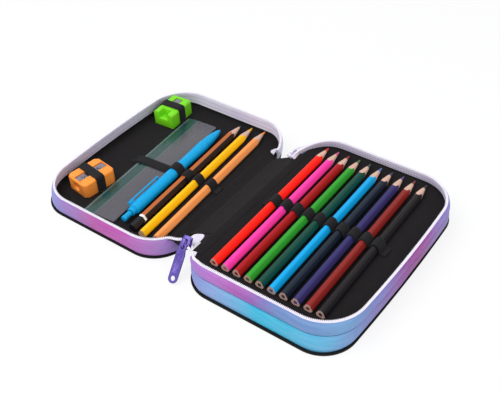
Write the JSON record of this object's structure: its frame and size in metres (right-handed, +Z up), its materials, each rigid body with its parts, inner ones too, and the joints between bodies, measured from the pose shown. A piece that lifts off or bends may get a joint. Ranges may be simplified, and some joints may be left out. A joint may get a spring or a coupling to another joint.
{
  "type": "double-decker pencil case",
  "caption": "Zipped double-decker pencil case lying open, with a hinged lid of drawing tools and an upper deck of coloured pencils that lifts off a lower tray.",
  "frame": {"origin": "on the table, under the middle of the deep half's rim outline", "axes": "+X from the lid towards the deep half, +Y away from the user along the pencils, +Z up"},
  "size_m": [0.3294, 0.2178, 0.032],
  "materials": {
    "tray_cloth": "printed cloth, matt",
    "deck_cloth": "printed cloth, matt",
    "lid_cloth": "printed cloth, matt",
    "lining": "matt",
    "piping": "matt",
    "white_tape": "matt woven tape",
    "blue_tape": "matt woven tape",
    "elastic": "matt ribbed band",
    "purple_metal": "satin",
    "pale_metal": "satin",
    "steel": "brushed",
    "orange_plastic": "gloss",
    "green_plastic": "gloss",
    "ruler_plastic": "clear tinted",
    "pen_plastic": "satin",
    "lacquer_red": "lacquered wood",
    "lacquer_pink": "lacquered wood",
    "lacquer_crimson": "lacquered wood",
    "lacquer_green": "lacquered wood",
    "lacquer_dark_green": "lacquered wood",
    "lacquer_blue": "lacquered wood",
    "lacquer_navy": "lacquered wood",
    "lacquer_violet": "lacquered wood",
    "lacquer_brown": "lacquered wood",
    "lacquer_black": "lacquered wood",
    "lacquer_orange": "lacquered wood",
    "lacquer_yellow": "lacquered wood",
    "lacquer_graphite": "lacquered wood, black edges"
  },
  "bodies": {
    "lower_tray": {"bottom_panel": "tray_cloth", "base_piping": "piping", "lower_wall": "tray_cloth", "lower_lining": "lining", "lower_zip_row_bottom": "blue_tape"},
    "upper_deck": {"deck_board": "lining", "deck_lining": "lining", "deck_wall": "deck_cloth", "deck_zip_row": "white_tape", "lower_zip_row_top": "blue_tape", "deck_elastic": "elastic"},
    "spine_flap": {"spine_board": "lid_cloth", "spine_lining": "lining", "near_tape_end": "white_tape"},
    "lid": {"lid_panel": "lid_cloth", "lid_piping": "piping", "lid_wall": "lid_cloth", "lid_lining": "lining", "lid_zip_row": "white_tape", "far_tape_end": "white_tape", "lid_elastic": "elastic", "orange_strap": "elastic", "green_strap": "elastic"},
    "upper_slider": {"upper_slider": "purple_metal"},
    "upper_pull": {"upper_pull": "purple_metal"},
    "lower_slider": {"lower_slider": "pale_metal"},
    "lower_pull": {"lower_pull": "pale_metal"},
    "pen": {"pen_barrel": "pen_plastic", "pen_nose": "pen_plastic", "pen_clip": "pen_plastic"},
    "pen_plunger": {"pen_plunger": "pen_plastic"},
    "graphite_pencil": {"graphite_pencil": "lacquer_graphite"},
    "pencil_orange": {"pencil_orange": "lacquer_orange"},
    "pencil_yellow": {"pencil_yellow": "lacquer_yellow"},
    "ruler": {"ruler": "ruler_plastic"},
    "orange_sharpener": {"orange_sharpener": "orange_plastic", "orange_blade_near": "steel", "orange_screw_near": "steel", "orange_blade_far": "steel", "orange_screw_far": "steel"},
    "green_sharpener": {"green_sharpener": "green_plastic", "green_blade": "steel", "green_screw": "steel"},
    "pencil_red": {"pencil_red": "lacquer_red"},
    "pencil_pink": {"pencil_pink": "lacquer_pink"},
    "pencil_crimson": {"pencil_crimson": "lacquer_crimson"},
    "pencil_green": {"pencil_green": "lacquer_green"},
    "pencil_dark_green": {"pencil_dark_green": "lacquer_dark_green"},
    "pencil_blue": {"pencil_blue": "lacquer_blue"},
    "pencil_navy": {"pencil_navy": "lacquer_navy"},
    "pencil_violet": {"pencil_violet": "lacquer_violet"},
    "pencil_brown": {"pencil_brown": "lacquer_brown"},
    "pencil_black": {"pencil_black": "lacquer_black"}
  },
  "joints": [
    {"name": "lid_close", "type": "hinge", "parent": "lower_tray", "child": "spine_flap", "pos_m": [-0.0718, 0, 0.02086], "axis": [0, 1, 0], "range_deg": [0, 118.63]},
    {"name": "lid_fold", "type": "hinge", "parent": "spine_flap", "child": "lid", "pos_m": [-0.0972, 0, 0.007], "axis": [0, 1, 0], "range_deg": [0, 61.37]},
    {"name": "deck_lift", "type": "hinge", "parent": "lower_tray", "child": "upper_deck", "pos_m": [-0.0785, 0, 0.018], "axis": [0, 1, 0], "range_deg": [-90, 0]},
    {"name": "upper_slider_run", "type": "slide", "parent": "upper_deck", "child": "upper_slider", "axis": [0.1392, -0.9903, 0], "range_m": [0, 0.003]},
    {"name": "upper_pull_swing", "type": "hinge", "parent": "upper_slider", "child": "upper_pull", "pos_m": [-0.0832, -0.0838, 0.02526], "axis": [-0.9903, -0.1392, 0], "range_deg": [0, 110]},
    {"name": "lower_slider_run", "type": "slide", "parent": "lower_tray", "child": "lower_slider", "axis": [0.0698, 0.9976, 0], "range_m": [0, 0.003]},
    {"name": "lower_pull_swing", "type": "hinge", "parent": "lower_slider", "child": "lower_pull", "pos_m": [-0.08427, 0.07928, 0.01449], "axis": [0.9976, -0.0698, 0], "range_deg": [0, 90]},
    {"name": "pencil_red_slide", "type": "slide", "parent": "upper_deck", "child": "pencil_red", "axis": [-0.0175, 0.9998, 0], "range_m": [-0.006, 0.005]},
    {"name": "pencil_pink_slide", "type": "slide", "parent": "upper_deck", "child": "pencil_pink", "axis": [-0.0175, 0.9998, 0], "range_m": [-0.006, 0.005]},
    {"name": "pencil_crimson_slide", "type": "slide", "parent": "upper_deck", "child": "pencil_crimson", "axis": [-0.0175, 0.9998, 0], "range_m": [-0.006, 0.005]},
    {"name": "pencil_green_slide", "type": "slide", "parent": "upper_deck", "child": "pencil_green", "axis": [-0.0175, 0.9998, 0], "range_m": [-0.006, 0.005]},
    {"name": "pencil_dark_green_slide", "type": "slide", "parent": "upper_deck", "child": "pencil_dark_green", "axis": [-0.0175, 0.9998, 0], "range_m": [-0.006, 0.005]},
    {"name": "pencil_blue_slide", "type": "slide", "parent": "upper_deck", "child": "pencil_blue", "axis": [-0.0175, 0.9998, 0], "range_m": [-0.006, 0.005]},
    {"name": "pencil_navy_slide", "type": "slide", "parent": "upper_deck", "child": "pencil_navy", "axis": [-0.0175, 0.9998, 0], "range_m": [-0.006, 0.005]},
    {"name": "pencil_violet_slide", "type": "slide", "parent": "upper_deck", "child": "pencil_violet", "axis": [-0.0175, 0.9998, 0], "range_m": [-0.006, 0.005]},
    {"name": "pencil_brown_slide", "type": "slide", "parent": "upper_deck", "child": "pencil_brown", "axis": [-0.0175, 0.9998, 0], "range_m": [-0.006, 0.005]},
    {"name": "pencil_black_slide", "type": "slide", "parent": "upper_deck", "child": "pencil_black", "axis": [-0.0175, 0.9998, 0], "range_m": [-0.006, 0.005]},
    {"name": "pencil_orange_slide", "type": "slide", "parent": "lid", "child": "pencil_orange", "axis": [-0.0628, 0.998, 0], "range_m": [-0.006, 0.0005]},
    {"name": "pencil_yellow_slide", "type": "slide", "parent": "lid", "child": "pencil_yellow", "axis": [-0.0628, 0.998, 0], "range_m": [-0.006, 0.0015]},
    {"name": "graphite_pencil_slide", "type": "slide", "parent": "lid", "child": "graphite_pencil", "axis": [-0.0628, 0.998, 0], "range_m": [-0.006, 0.003]},
    {"name": "pen_slide", "type": "slide", "parent": "lid", "child": "pen", "axis": [-0.0628, 0.998, 0], "range_m": [-0.005, 0.015]},
    {"name": "ruler_slide", "type": "slide", "parent": "lid", "child": "ruler", "axis": [-0.0628, 0.998, 0], "range_m": [-0.004, 0.01]},
    {"name": "pen_plunger_press", "type": "slide", "parent": "pen", "child": "pen_plunger", "axis": [-0.0628, 0.998, 0], "range_m": [0, 0.004], "stiffness_N_per_m": 120, "springref_m": -0.002},
    {"name": "orange_sharpener_slide", "type": "slide", "parent": "lid", "child": "orange_sharpener", "axis": [0.1392, 0.9903, 0], "range_m": [-0.006, 0.0025]},
    {"name": "green_sharpener_slide", "type": "slide", "parent": "lid", "child": "green_sharpener", "axis": [-0.0698, 0.9976, 0], "range_m": [-0.006, 0]}
  ],
  "couplings": [
    {"joint": "lid_fold", "follows": "lid_close", "ratio": 0.51738}
  ]
}
